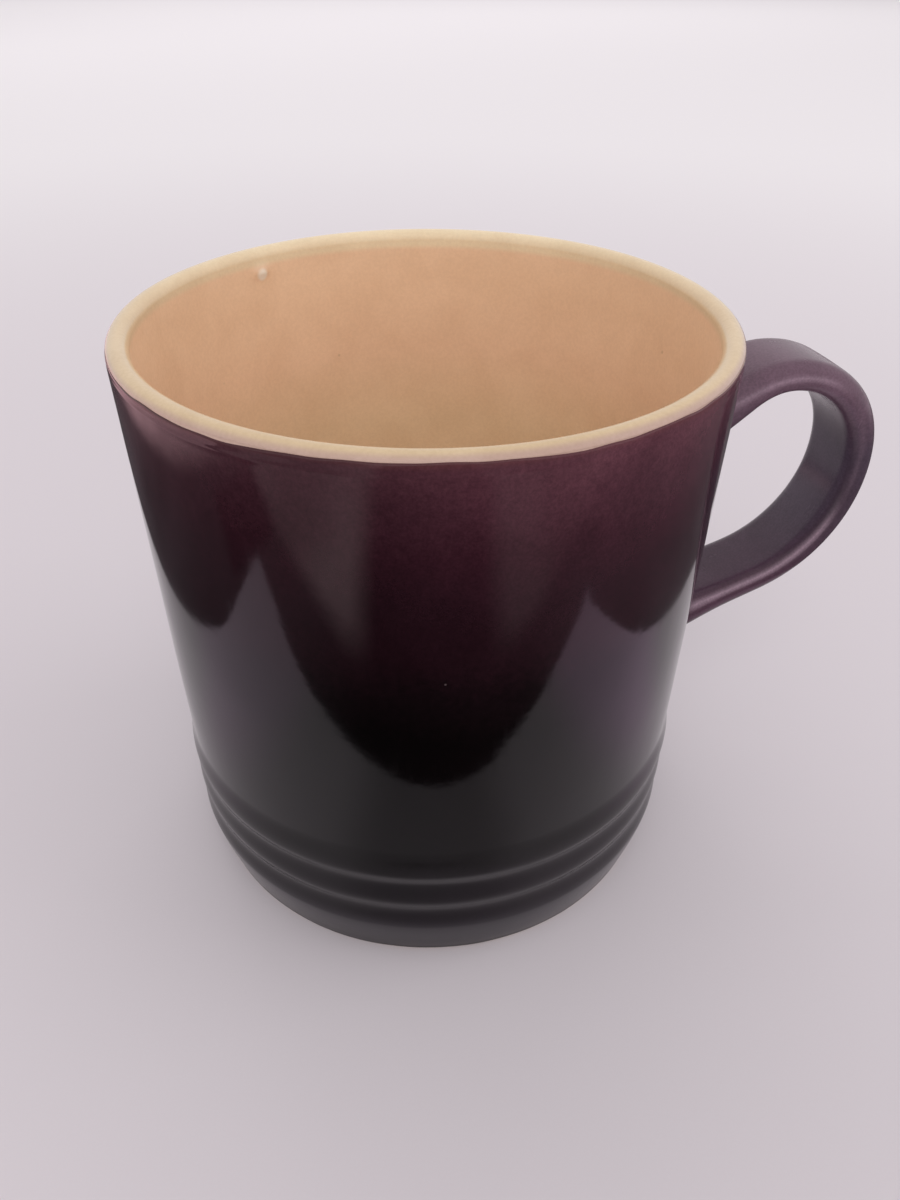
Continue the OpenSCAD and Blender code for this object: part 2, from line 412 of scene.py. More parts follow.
def dark_glaze(name, strap=False, rough_low=0.055, rough_high=0.105):
    """Gloss aubergine glaze that fades to near black low down, with painted light on one side; the strap
    has a colour of its own, with painted highlights and reflections.
    """
    n = Nodes(name)
    z = n.axis("Z")
    drift = n.noise(38.0, detail=2.0)
    spray = n.noise(900.0, detail=2.0, rough=0.7)
    z_soft = n.add(z, n.swing(drift, OMBRE_DRIFT))
    z_soft = n.add(z_soft, n.swing(spray, OMBRE_SPRAY))
    level = n.math("DIVIDE", z_soft, MUG_H * MM, clamp=True)
    colour = n.ramp(level, OMBRE, smooth=False)
    # painted light: the side towards the handle and the viewer is made brighter
    lean = n.add(n.times(n.axis("X"), LIT_SIDE_X), n.times(n.axis("Y"), LIT_SIDE_Y))
    colour = n.tint(colour, n.span(lean, *LIT_SIDE_FADE))
    if strap:
        x = n.add(n.axis("X"), n.swing(drift, PLUM_X_DRIFT))
        own = n.math("MAXIMUM", n.span(x, *PLUM_X_FADE), n.span(z, *PLUM_Z_FADE))
        plum = n.ramp(level, PLUM, smooth=False)
        # painted reflection on the strap's inner side
        inner = n.times(n.span(z, *INNER_REFLECTION_TOP_FADE), n.span(z, *INNER_REFLECTION_LOW_FADE))
        plum = n.mix(n.times(n.attribute("inner"), inner), plum, INNER_REFLECTION_TONE)
        # painted highlight along the strap's crests
        crest = n.times(n.attribute("crest"), n.span(z, *CREST_HIGHLIGHT_FADE))
        plum = n.mix(crest, plum, CREST_HIGHLIGHT_TONE)
        colour = n.mix(own, colour, plum)
    # cloudy pooling, a few millimetres across
    cloud = n.noise(150.0, detail=4.0, rough=0.6, distort=0.4)
    colour = n.tint(colour, n.ramp(cloud, GLAZE_CLOUD))
    # fine speckle of the sprayed colour
    grain = n.noise(2600.0, detail=2.0, rough=0.6)
    colour = n.tint(colour, n.ramp(grain, GLAZE_GRAIN))
    # painted reflection under the lowest ring
    under_ring_reflection = n.times(n.span(z, *UNDER_RING_REFLECTION_FROM), n.span(z, *UNDER_RING_REFLECTION_TO))
    colour = n.mix(n.times(under_ring_reflection, UNDER_RING_REFLECTION_SHARE), colour, UNDER_RING_REFLECTION)
    edge = n.span(n.add(z, n.swing(drift, EDGE_DRIFT)), *EDGE_FADE)
    colour = n.mix(n.times(edge, EDGE_SHARE), colour, EDGE_BROWN)
    speck = n.span(n.cells(120.0), *PALE_SPECK_FADE)
    colour = n.mix(n.times(speck, PALE_SPECK_SHARE), colour, PALE_SPECK)
    # gloss, a little uneven, with faint scuffs; less glossy round the rings
    film = n.noise(70.0, detail=4.0, rough=0.6)
    scuff = n.noise(1.0, detail=3.0, rough=0.6, vector=n.scaled(SCUFF_STRETCH))
    rough = n.span(film, *FILM_RANGE, rough_low, rough_high)
    rough = n.add(rough, n.span(scuff, *SCUFF_FADE))
    rough = n.add(rough, n.span(z, *RING_ROUGH_FADE))
    # slow undulation of the coat, then orange peel
    slow = n.bump(n.noise(48.0, detail=1.0, rough=0.4), distance=0.00020)
    peel = n.bump(n.noise(520.0, detail=2.0), distance=0.000006, under=slow)
    return n.finish(colour, rough, peel, DARK_GLAZE_IOR)


# The cream glaze's colours from the foot up to the lip, painted darker low down as shade deep in the cup
CREAM = [
    (0.00, (0.800, 0.620, 0.400)),
    (0.62, (0.850, 0.650, 0.430)),
    (0.78, (0.930, 0.650, 0.445)),
    (0.93, (0.970, 0.680, 0.455)),
]
# and on the lip from near to far in the view, where it is painted darker at the near side and yellower
# and palest at the far side: painted light and shade on the lip
LIP_LIGHT_AND_SHADE = [
    (0.0, (0.755, 0.575, 0.367)),
    (0.5, (0.835, 0.655, 0.433)),
    (1.0, (1.000, 0.830, 0.570)),
]
LIP_FADE = (0.0904, 0.0916)
# It thins to a dull pink at its outer edge.
CREAM_EDGE_TINT = (0.80, 0.74, 0.96)
CREAM_EDGE_FADE = (0.0440, 0.0449)
WHITE = (1.0, 1.0, 1.0)
CREAM_CLOUD = [(0.25, (0.93, 0.91, 0.89)), (0.75, WHITE)]
CREAM_GRAIN = [(0.3, (0.95, 0.94, 0.93)), (0.7, WHITE)]
# Brown specks inside the cup, none near the lip
BROWN_SPECK = (0.30, 0.19, 0.10)
BROWN_SPECK_FADE = (0.030, 0.060, 1.0, 0.0)
BROWN_SPECK_Z_FADE = (0.088, 0.090, 0.40, 0.0)
CREAM_ROUGH = (0.3, 0.7, 0.13, 0.24)

# A run of glaze that set as a nub just under the lip, on the side away from the handle, in mm.
# It is thick, and its pale colour is a painted highlight.
NUB_THETA = math.radians(121.0)
NUB_Z = 89.5
NUB_W = 1.2
NUB_H = 0.85
NUB_RISE = 0.65
NUB_R = float(inner_r(NUB_Z)) - NUB_RISE / 2
NUB_POINT = (NUB_R * math.cos(NUB_THETA), NUB_R * math.sin(NUB_THETA), NUB_Z)
NUB_HIGHLIGHT = (1.0, 0.93, 0.80)
NUB_HIGHLIGHT_FADE = (0.0006, 0.0013, 0.85, 0.0)


def cream_glaze(name):
    """Satin gloss cream glaze, warm and faintly mottled, with painted shade deep in the cup, painted
    light and shade on the lip and a painted highlight on the nub.
    """
    n = Nodes(name)
    z = n.axis("Z")
    level = n.math("DIVIDE", z, MUG_H * MM, clamp=True)
    colour = n.ramp(level, CREAM, smooth=False)
    x, y = n.axis("X"), n.axis("Y")
    # painted light and shade on the lip, by where it lies in the view
    away = n.add(n.times(x, math.sin(HANDLE_TURN)), n.times(y, math.cos(HANDLE_TURN)))
    place = n.math("ADD", n.math("DIVIDE", away, 2 * RIM_R * MM), 0.5, clamp=True)
    colour = n.mix(n.span(z, *LIP_FADE), colour, n.ramp(place, LIP_LIGHT_AND_SHADE, smooth=False))
    radius = n.math("SQRT", n.add(n.times(x, x), n.times(y, y)))
    colour = n.mix(n.span(radius, *CREAM_EDGE_FADE), colour, n.tint(colour, CREAM_EDGE_TINT))
    cloud = n.noise(95.0, detail=4.0, rough=0.6, distort=0.5)
    colour = n.tint(colour, n.ramp(cloud, CREAM_CLOUD))
    grain = n.noise(1900.0, detail=2.0, rough=0.6)
    colour = n.tint(colour, n.ramp(grain, CREAM_GRAIN))
    speck = n.times(n.span(n.cells(120.0), *BROWN_SPECK_FADE), n.span(z, *BROWN_SPECK_Z_FADE))
    colour = n.mix(speck, colour, BROWN_SPECK)
    # painted highlight on the nub
    nub = n.span(n.away_from([c * MM for c in NUB_POINT]), *NUB_HIGHLIGHT_FADE)
    colour = n.mix(nub, colour, NUB_HIGHLIGHT)
    rough = n.span(n.noise(60.0, rough=0.6), *CREAM_ROUGH)
    slow = n.bump(n.noise(55.0, detail=1.0, rough=0.4), distance=0.00025)
    peel = n.bump(n.noise(430.0, detail=2.0), distance=0.000015, under=slow)
    return n.finish(colour, rough, peel)


CLAY_BUFF = (0.56, 0.43, 0.30)
CLAY_DARK_SHARE = 0.72
GRIT_BROWN = (0.13, 0.08, 0.05)
GRIT_SHARE = 0.5
GRIT_FADE = (0.06, 0.16, 1.0, 0.0)
CLAY_ROUGH = (0.3, 0.7, 0.78, 0.95)


def bare_clay(name, tint=WHITE):
    """Unglazed stoneware: buff, gritty and matt."""
    n = Nodes(name)
    base = [c * t for c, t in zip(CLAY_BUFF, tint)]
    dark = [c * CLAY_DARK_SHARE for c in base]
    cloud = n.noise(180.0, detail=5.0, rough=0.65)
    colour = n.ramp(cloud, [(0.3, dark), (0.7, base)])
    grit = n.span(n.cells(900.0), *GRIT_FADE)
    colour = n.mix(n.times(grit, GRIT_SHARE), colour, GRIT_BROWN)
    fine = n.noise(3200.0, rough=0.7)
    rough = n.span(fine, *CLAY_ROUGH)
    coarse = n.bump(n.noise(700.0, detail=4.0, rough=0.7), distance=0.00010, strength=0.8)
    rub = n.bump(fine, distance=0.00004, strength=0.7, under=coarse)
    return n.finish(colour, rough, rub)


# The pale ground is painted a little darker round the mug and paler far off: painted shade and light for
# the fall of the light.
GROUND_NEAR_SHADED = ((0.735, 0.680, 0.715), (0.755, 0.700, 0.735))
GROUND_FAR_LIT = (0.90, 0.865, 0.885)
GROUND_SHADE_FADE = (0.12, 0.75)
PAPER_ROUGH = (0.3, 0.7, 0.62, 0.75)
PAPER_IOR = 1.4


def pale(n):
    """Colour of the pale ground, with painted shade round the mug, and the noise of its tooth."""
    tooth = n.noise(2200.0, rough=0.6)
    colour = n.mix(tooth, *GROUND_NEAR_SHADED)
    return n.mix(n.span(n.away_from((0, 0, 0)), *GROUND_SHADE_FADE), colour, GROUND_FAR_LIT), tooth


def paper(name):
    """Pale floor, painted darker round the mug as shade."""
    n = Nodes(name)
    colour, tooth = pale(n)
    # the floor mirrors nothing, as the reflected table lies just above it
    n.shader.inputs["Specular IOR Level"].default_value = 0.0
    relief = n.bump(tooth, distance=0.00002, strength=0.3)
    return n.finish(colour, n.span(tooth, *PAPER_ROUGH), relief, PAPER_IOR)


# The reflected table, with the view straight ahead along +Y. The sheet's left edge slants.
SHEET_LEFT = (-0.079, -0.020, -0.124, -0.109)
SHEET_LEFT_EDGE = (-0.0006, 0.0006)
SHEET_RIGHT_EDGE = (0.1044, 0.1056, 1.0, 0.0)
SHEET_FRONT_EDGE = (-0.0797, -0.0783)
# The sheet is painted dimmer close in front of the mug, a painted shade, and more lilac out to the sides.
FRONT_SHADE_ACROSS = (0.008, 0.045, 1.0, 0.0)
FRONT_SHADE_Y = (-0.060, -0.045, 1.0, 0.0)
FRONT_SHADE_LEVEL = (0.0, 1.0, 1.0, 0.62)
LILAC_LEFT = (1.18, 1.06, 1.18)
LILAC_RIGHT = (1.30, 1.08, 1.30)
LEFT_TO_RIGHT = (-0.02, 0.02)
LILAC_ACROSS = (0.052, 0.080)
LILAC_Y = (-0.024, 0.012, 1.0, 0.0)
# A dark strip runs along the sheet's front edge.
STRIP_ACROSS = (0.030, 0.095, 0.022, 0.120)
STRIP_Y = (-0.115, -0.100)
# Beyond it is duller, warm ground, parted by a dark wedge that widens towards the viewer.
WEDGE_SLOPE = -0.20
WEDGE_HALF = 0.016
WEDGE_EDGE = (-0.004, 0.022)
WARM = (1.0, 0.82, 0.80)
WARM_ACROSS = (-0.03, 0.03, 1.00, 0.44)
WARM_Y = (-0.185, -0.140, 0.62, 1.0)
WARM_OUT = (0.02, 0.09, 1.0, 0.5)
# There is a bright patch far out to the left, and a dark block between it and the sheet.
PATCH_FAR_LEFT = (1.30, 0.88, 0.90)
SIDE_LEFT = (0.095, 0.085, 0.090)
SIDE_RIGHT = (0.130, 0.125, 0.130)
PATCH_X = (-0.215, -0.180)
SIDES_X = (-0.10, 0.10)
SIDES_Y = (-0.082, -0.074)
BLOCK_TONE = (0.006, 0.005, 0.006)
BLOCK_LEFT_EDGE = (-0.176, -0.166)
BLOCK_RIGHT_EDGE = (-0.130, -0.122, 1.0, 0.0)
BLOCK_FRONT_EDGE = (-0.110, -0.100)
BLOCK_BACK_EDGE = (-0.056, -0.046, 1.0, 0.0)
DULL_CLOUD = [(0.3, (0.80, 0.74, 0.78)), (0.7, (1.15, 1.06, 1.12))]
TABLE_ROUGH = 0.9
TABLE_IOR = 1.3


def table(name):
    """The sheet's edges and the table round it, as the glaze mirrors them."""
    n = Nodes(name)
    x, y = n.axis("X"), n.axis("Y")
    across = n.math("ABSOLUTE", x)
    # the pale sheet
    from_left = n.math("SUBTRACT", x, n.span(y, *SHEET_LEFT))
    sheet = n.times(n.span(y, *SHEET_FRONT_EDGE), n.span(from_left, *SHEET_LEFT_EDGE))
    sheet = n.times(sheet, n.span(x, *SHEET_RIGHT_EDGE))
    colour, _ = pale(n)
    # painted shade on the sheet close in front of the mug
    in_front = n.times(n.span(across, *FRONT_SHADE_ACROSS), n.span(y, *FRONT_SHADE_Y))
    colour = n.tint(colour, n.span(in_front, *FRONT_SHADE_LEVEL))
    lilac = n.mix(n.span(x, *LEFT_TO_RIGHT), LILAC_LEFT, LILAC_RIGHT)
    to_the_sides = n.times(n.span(across, *LILAC_ACROSS), n.span(y, *LILAC_Y))
    colour = n.mix(to_the_sides, colour, n.tint(colour, lilac))
    # the strip, the wedge and the ground in front
    beyond = n.math("SUBTRACT", across, n.add(n.times(y, WEDGE_SLOPE), WEDGE_HALF))
    warm = n.times(n.span(x, *WARM_ACROSS), n.span(beyond, *WEDGE_EDGE))
    warm = n.times(warm, n.span(y, *WARM_Y))
    warm = n.times(warm, n.span(beyond, *WARM_OUT))
    front_ground = n.mix(n.span(y, *STRIP_Y), n.tint(WARM, warm), n.span(across, *STRIP_ACROSS))
    # the sides, with the patch and the block
    sides = n.mix(n.span(x, *PATCH_X), PATCH_FAR_LEFT, SIDE_LEFT)
    sides = n.mix(n.span(x, *SIDES_X), sides, SIDE_RIGHT)
    dull = n.mix(n.span(y, *SIDES_Y), front_ground, sides)
    block = n.times(n.span(x, *BLOCK_LEFT_EDGE), n.span(x, *BLOCK_RIGHT_EDGE))
    block_y = n.times(n.span(y, *BLOCK_FRONT_EDGE), n.span(y, *BLOCK_BACK_EDGE))
    dull = n.mix(n.times(block, block_y), dull, BLOCK_TONE)
    dull = n.tint(dull, n.ramp(n.noise(16.0), DULL_CLOUD))
    return n.finish(n.mix(sheet, dull, colour), TABLE_ROUGH, None, TABLE_IOR)


SLIP_TINT = (0.93, 0.92, 0.90)
STRAP_ROUGH = (0.20, 0.27)

wall_glaze_mat = dark_glaze("wall_glaze")
strap_glaze_mat = dark_glaze("strap_glaze", True, *STRAP_ROUGH)
base_glaze_mat = dark_glaze("foot_recess_glaze")
liner_mat = cream_glaze("liner_glaze")
clay_mat = bare_clay("raw_stoneware")
slip_mat = bare_clay("raw_slip", SLIP_TINT)


# ---------------------------------------------------------------- cup: body, liner and outer coat
LIP_X = RIM_R - LIP_R
# The dark coat ends and the cream one begins at this height on the outside of the lip.
CHANGE_Z = MUG_H - 1.1
CHANGE_ANGLE = math.degrees(math.asin((CHANGE_Z - LIP_Z) / LIP_R))
CORNER_Z = FLOOR_Z + CORNER_R
CORNER_X = float(inner_r(CORNER_Z)) - CORNER_R

# Wavering lines are lists of (count round the mug, size, phase).
OUT_OF_ROUND = [(2, 0.05, 0.4), (3, 0.04, 2.1), (5, 0.02, 0.9)]
LUMP_SIZE = 0.035
# The foot stays true up to this height, and the unevenness comes in over the next part.
TRUE_BELOW = 2.0
TRUE_EASE = 12.0
# The rim stands higher at the back of the view and lower at the front by its tilt, and is moved and
# squeezed a little from a true circle. All this grows from RIM_FROM_Z up.
RIM_FROM_Z = 30.0
RIM_TILT = 0.6
RIM_PUSH = 0.15
RIM_SQUEEZE = 0.20
EDGE_WAVER = [(3, 0.16, 0.3), (7, 0.10, 1.9), (13, 0.06, 4.0), (29, 0.035, 2.2), (47, 0.02, 0.5)]
BEAD_WAVER = [(2, 0.20, 1.0), (5, 0.15, 3.3), (11, 0.08, 0.2), (23, 0.04, 5.0)]


def cup_shift(theta, r, z):
    """The slight unevenness of the cup's shape, the same for every coat; the foot stays true."""
    swell = waver(theta + z * 0.010, OUT_OF_ROUND)
    lumps = LUMP_SIZE * np.sin(4 * theta + z * 0.11 + 1.0) * np.sin(z * 0.075 + 2 * theta)
    hold = smoothstep((z - TRUE_BELOW) / TRUE_EASE)
    seen = theta + HANDLE_TURN
    rise = smoothstep((z - RIM_FROM_Z) / (MUG_H - RIM_FROM_Z))
    skew = RIM_PUSH * np.cos(seen) - RIM_SQUEEZE * np.cos(2 * seen)
    return r + (swell + lumps) * hold + skew * rise, z + RIM_TILT * np.sin(seen) * rise


def lip_point(angle, inset=0.0):
    """A point on the lip's round; 0 degrees is outwards and 180 inwards."""
    a = math.radians(angle)
    return LIP_X + (LIP_R - inset) * math.cos(a), LIP_Z + (LIP_R - inset) * math.sin(a)


def corner_arc(inset, degrees):
    """Points of the curve between the inside wall and the floor, inset under the glaze."""
    reach = CORNER_R + inset
    turns = [math.radians(a) for a in degrees]
    return [(CORNER_X + reach * math.cos(t), CORNER_Z + reach * math.sin(t)) for t in turns]


def body_outline():
    """The clay: its outer skin inset under the glaze, its hollow, its foot ring and its recess."""
    inset = GLAZE_T
    low = [(float(outer_r(z)) - inset, z) for z in np.arange(FOOT_Z, FLARE_TOP_Z, 0.4)]
    pts = low + [(float(outer_r(z)) - inset, z) for z in np.linspace(FLARE_TOP_Z, LIP_Z, 14)]
    pts += [lip_point(a, inset) for a in range(12, 181, 12)]
    pts += [(float(inner_r(z)) + inset, z) for z in np.linspace(LIP_Z, CORNER_Z, 14)[1:-1]]
    pts += corner_arc(inset, np.linspace(0, -90, 13))
    pts += [(0.0, FLOOR_Z - inset), (0.0, FOOT_RECESS + inset), (FOOT_INNER_R, FOOT_RECESS + inset)]
    # foot ring: inner wall, then a softly rounded resting face
    pts += [(FOOT_INNER_R, z) for z in (2.0, 1.4, FOOT_EASE + 0.2)]
    inner_turn = FOOT_INNER_R + FOOT_EASE
    outer_turn = FOOT_R - inset - FOOT_EASE
    for a in np.linspace(180, 270, 7):
        t = math.radians(a)
        pts.append((inner_turn + FOOT_EASE * math.cos(t), FOOT_EASE + FOOT_EASE * math.sin(t)))
    pts += [(r, 0.0) for r in np.linspace(inner_turn, outer_turn, 6)[1:-1]]
    for a in np.linspace(270, 360, 7):
        t = math.radians(a)
        pts.append((outer_turn + FOOT_EASE * math.cos(t), FOOT_EASE + FOOT_EASE * math.sin(t)))
    return pts


# The coats sink this much into the clay, so that no gap opens between them.
DARK_TUCK = 0.05
CREAM_TUCK = 0.04


def outer_coat_outline():
    """The dark coat: its rounded lower edge, up the outside to the lip, and back down within the clay."""
    low = COAT_BOTTOM_Z
    inset = GLAZE_T + DARK_TUCK
    pts = [(FOOT_R - inset, low + 0.12), (FOOT_R - 0.30, low), (FOOT_R - 0.13, low + 0.06)]
    pts += [(FOOT_R - 0.02, low + 0.22)]
    heights = [*np.arange(low + 0.45, FLARE_TOP_Z, 0.22)]
    heights += [*np.linspace(FLARE_TOP_Z, LIP_Z - 2.4, 46), *np.linspace(LIP_Z - 2.3, LIP_Z, 24)]
    pts += [(float(outer_r(z)), z) for z in heights]
    pts += [lip_point(a) for a in np.linspace(2, CHANGE_ANGLE, 7)]
    pts += [lip_point(CHANGE_ANGLE + 3.0, 0.16), lip_point(CHANGE_ANGLE + 3.0, inset)]
    pts += [lip_point(a, inset) for a in (CHANGE_ANGLE * 0.5, 0)]
    heights = [*np.linspace(LIP_Z, FLARE_TOP_Z, 12)[1:]]
    heights += [*np.arange(FLARE_TOP_Z, FOOT_Z + 1.0, -0.5)[1:]]
    return pts + [(float(outer_r(z)) - inset, z) for z in heights]


# Just below the lip the dark coat thickens in a small step with a soft, uneven bead along it.
STEP_DROP = 0.55
STEP_RISE = 0.03
BEAD_DROP = 0.45
BEAD_W = 0.42
BEAD_RISE = 0.016
LIP_THINNING = 0.02


def outer_coat_shift(theta, r, z):
    """The coat's own relief: a soft bead below the lip, and wavering top and bottom edges."""
    z0 = z[0]
    if z0 >= LIP_Z or r[0] > float(outer_r(z0)) - 0.30:
        step_z = LIP_Z - STEP_DROP + waver(theta, BEAD_WAVER)
        step = smoothstep((step_z - z) / STEP_DROP)
        bead = np.exp(-(((z - step_z + BEAD_DROP) / BEAD_W) ** 2))
        bead = bead * (0.55 + 0.45 * np.sin(2 * theta + 0.6) * np.sin(5 * theta))
        near_lip = smoothstep((z - (LIP_Z - 8)) / 6)
        thinning = LIP_THINNING * smoothstep((z - LIP_Z + 1.0) / 1.5)
        r = r + (STEP_RISE * step + BEAD_RISE * bead) * near_lip - thinning
    top = smoothstep((z0 - (LIP_Z + 0.1)) / 0.4)
    z = z + top * waver(theta, EDGE_WAVER)
    low = smoothstep((2.6 - z0) / 1.2)
    z = z + low * 0.35 * waver(theta + 1.7, EDGE_WAVER)
    return cup_shift(theta, r, z)


def liner_outline():
    """The cream coat: from under the dark coat's edge over the lip, down inside and across the floor."""
    start = CHANGE_ANGLE - 18
    pts = [lip_point(a, 0.10) for a in np.linspace(start, start + 22, 6)]
    pts += [lip_point(a) for a in np.linspace(start + 26, 180, 34)]
    pts += [(float(inner_r(z)), z) for z in np.linspace(LIP_Z, LIP_Z - 10, 22)[1:]]
    pts += [(float(inner_r(z)), z) for z in np.linspace(LIP_Z - 10, CORNER_Z, 30)[1:-1]]
    pts += corner_arc(0.0, np.linspace(0, -90, 25))
    pts += [(r, FLOOR_Z) for r in np.linspace(CORNER_X, 0, 14)[1:]]
    inset = GLAZE_T + CREAM_TUCK
    pts += [(0.0, FLOOR_Z - inset), (CORNER_X, FLOOR_Z - inset)]
    pts += corner_arc(inset, np.linspace(-90, 0, 9)[1:])
    pts += [(float(inner_r(z)) + inset, z) for z in np.linspace(CORNER_Z, LIP_Z, 10)[1:-1]]
    pts += [lip_point(a, inset) for a in np.linspace(180, start, 12)]
    return pts


RUN_SIZE = 0.03


def liner_shift(theta, r, z):
    """The nub of glaze under the lip, and faint runs down the wall."""
    if r[0] < LIP_X and z[0] > CORNER_Z:
        across = ((theta - NUB_THETA + np.pi) % (2 * np.pi) - np.pi) * r / NUB_W
        up = (z - NUB_Z) / NUB_H
        r = r - NUB_RISE * np.exp(-(across**2 + up**2))
        runs = RUN_SIZE * np.sin(17 * theta + 0.02 * z) * np.sin(6 * theta + 1.3)
        r = r + runs * smoothstep((LIP_Z - z) / 8)
    return cup_shift(theta, r, z)


MENISCUS_R = 0.75
DOME = 0.10


def base_outline():
    """The glaze in the foot's recess, drawn a little way down the ring where it meets it."""
    r_edge = FOOT_INNER_R
    top = FOOT_RECESS + GLAZE_T
    pts = [(0.0, top), (r_edge + 0.02, top)]
    pts += [(r_edge + 0.02, 1.55), (r_edge - 0.10, 1.50)]
    for a in np.linspace(0, 90, 9):
        t = math.radians(a)
        down = FOOT_RECESS - MENISCUS_R + MENISCUS_R * math.sin(t)
        pts.append((r_edge - 0.9 + MENISCUS_R * math.cos(t), down))
    middle = np.linspace(r_edge - 2, 0, 24)
    return pts + [(r, FOOT_RECESS + DOME * (1 - (r / r_edge) ** 2)) for r in middle]


body = lathe(body_outline(), cup_shift)
outer_coat = lathe(outer_coat_outline(), outer_coat_shift)
liner_coat = lathe(liner_outline(), liner_shift)
recess_coat = lathe(base_outline())
make_object("clay_body", *body, ["stoneware_body"], "bare_stoneware", clay_mat, sharp=50)
make_object("outer_coat", *outer_coat, ["exterior_glaze"], "dark_glaze", wall_glaze_mat)
make_object("liner_coat", *liner_coat, ["interior_glaze"], "cream_glaze", liner_mat)
make_object("recess_coat", *recess_coat, ["base_glaze"], "base_glaze", base_glaze_mat, sharp=60)


# ---------------------------------------------------------------- handle
LINE_STEP = 0.25
LINE_BLUR = 1.8


def strap_line():
    """Points of the strap's centre line in the XZ plane, from the upper root to the lower one."""
    slope = math.radians(ROOT_RISE)
    pts = [np.array([float(outer_r(ROOT_Z)), ROOT_Z])]

    def run(length, turn):
        nonlocal slope
        count = int(round(length / LINE_STEP))
        for _ in range(count):
            slope -= turn / count / 2
            pts.append(pts[-1] + length / count * np.array([math.cos(slope), math.sin(slope)]))
            slope -= turn / count / 2

    run(ROOT_LEAD, 0.0)
    first = math.radians(BEND_1_A)
    run(BEND_1_R * first, first)
    second = math.radians(ROOT_RISE - BEND_1_A + 180 - LOWER_SLOPE)
    run(BEND_2_R * second, second)
    to_wall = pts[-1][0] - float(outer_r(LOWER_ROOT_Z))
    tail = to_wall / math.cos(math.radians(LOWER_SLOPE))
    run(tail, 0.0)
    return np.array(pts)


def half_width(reach, step):
    """How many points a blur over reach takes in on each side."""
    return int(4 * reach / step)


def blurred(points, reach, step):
    """points spaced by step, blurred over reach, which drops half_width of them at each end."""
    k = half_width(reach, step)
    kernel = np.exp(-0.5 * (np.arange(-k, k + 1) * step / reach) ** 2)
    kernel /= kernel.sum()
    return np.stack([np.convolve(points[:, i], kernel, "valid") for i in range(2)], 1)


def smoothed(line):
    """The line, blurred, with its ends held straight."""
    k = half_width(LINE_BLUR, LINE_STEP)
    head = 2 * line[0] - line[k:0:-1]
    tail = 2 * line[-1] - line[-2:-k - 2:-1]
    return blurred(np.concatenate([head, line, tail]), LINE_BLUR, LINE_STEP)


SECTION_POINTS = 84
SECTION_DENSE = 1600
SECTION_BLUR = 0.35
CROWN = 0.16


def strap_section():
    """The strap's outline: near-flat faces and full-round edges.

    It is given as (across, outwards) points, their normals, and the normals' turn from sideways in
    degrees, which is below zero on the strap's inner side."""
    half, edge = (STRAP_W - STRAP_T) / 2, STRAP_T / 2
    flat, bend = 2 * half, math.pi * edge
    total = 2 * (flat + bend)
    s = (np.arange(SECTION_DENSE) + 0.5) / SECTION_DENSE * total
    pts = np.zeros((SECTION_DENSE, 2))
    for i, d in enumerate(s):
        if d < flat:
            pts[i] = (half - d, edge)
        elif d < flat + bend:
            a = math.pi / 2 + (d - flat) / edge
            pts[i] = (-half + edge * math.cos(a), edge * math.sin(a))
        elif d < 2 * flat + bend:
            pts[i] = (-half + d - flat - bend, -edge)
        else:
            a = -math.pi / 2 + (d - 2 * flat - bend) / edge
            pts[i] = (half + edge * math.cos(a), edge * math.sin(a))
    pts[:, 1] += np.sign(pts[:, 1]) * CROWN * np.clip(1 - (pts[:, 0] / (STRAP_W / 2)) ** 2, 0, 1)
    spacing = total / SECTION_DENSE
    k = half_width(SECTION_BLUR, spacing)
    pts = blurred(np.concatenate([pts[-k:], pts, pts[:k]]), SECTION_BLUR, spacing)
    pts = pts[:: SECTION_DENSE // SECTION_POINTS][:SECTION_POINTS]
    tangent = np.roll(pts, -1, 0) - np.roll(pts, 1, 0)
    normal = np.stack([tangent[:, 1], -tangent[:, 0]], 1)
    normal /= np.linalg.norm(normal, axis=1)[:, None]
    turn = np.degrees(np.arctan2(normal[:, 1], np.abs(normal[:, 0])))
    return pts, normal, turn


# A faint crest runs along each edge of the strap, at these turns on the upper and the lower arm. It
# is plain on both arms and faint round the bend.
# The strap's colour carries a painted highlight along this crest.
CREST_TURN_UPPER = 3.0
CREST_TURN_LOWER = -30.0
CREST_TURNS_FROM = 20.0
CREST_TURNS_OVER = 30.0
CREST_SPREAD = 11.0
CREST_RISE = 0.10
CREST_BEND = 0.15
BEND_FROM = 26.0
BEND_TO = 48.0
BEND_EASE = 8.0
# Turn at which the inner face begins, and over how many degrees
INNER_TURN = 50.0
INNER_EASE = 25.0
# At the roots the strap widens on each side and thickens inwards by these, and is filleted into the
# wall.
FLARE_WIDE = 1.8
FLARE_IN_UPPER = 4.0
FLARE_IN_LOWER = 2.6
FLARE_REACH = 6.5
FILLET_R = 1.3
ROOT_BLEND = 7.0
# Beyond the wall's surface the strap goes on inwards by this much.
ROOT_SUNK = 0.45
ROOT_STATION_GAP = 0.45
STATION_GAP = 0.7
# The wall is looked for within this distance of each root, by halving it again and again.
WALL_SEARCH = 9.0
HALVINGS = 40


